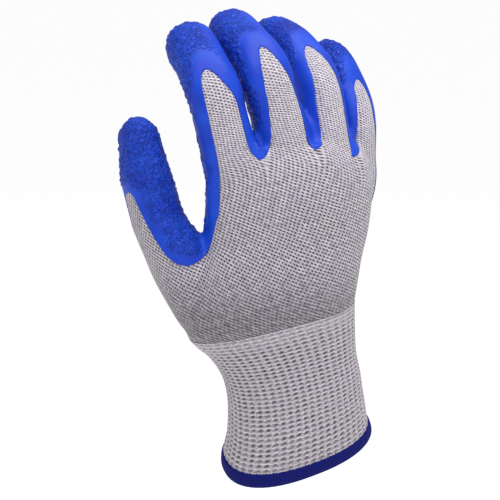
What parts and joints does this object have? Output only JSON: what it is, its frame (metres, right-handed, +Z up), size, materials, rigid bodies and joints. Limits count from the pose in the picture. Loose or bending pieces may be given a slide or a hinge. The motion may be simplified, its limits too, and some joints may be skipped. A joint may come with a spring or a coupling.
{
  "type": "latex coated grip glove",
  "caption": "Right-hand work glove in its worn form: hollow knitted liner, ribbed cuff and overlocked hem, with crinkled latex over the palm, thumb and fingertips.",
  "frame": {"origin": "middle of the wrist opening, in the plane of the hem's lower edge", "axes": "+Z up through the hand to the fingers, -Y out of the back of the hand, +Y out of the palm, -X the thumb's side"},
  "size_m": [0.1394, 0.0995, 0.2382],
  "materials": {
    "knit": "matte 13 gauge plain knit, light grey and rose marl",
    "ribbing": "matte ribbed knit, light grey and rose marl",
    "hem_thread": "matte navy overlock thread",
    "latex": "satin blue latex, crinkled over the grip and smooth along its edge"
  },
  "bodies": {
    "root": {"knit_liner": "knit", "rib_cuff": "ribbing", "hem_overlock": "hem_thread", "latex_coating": "latex"}
  },
  "joints": []
}
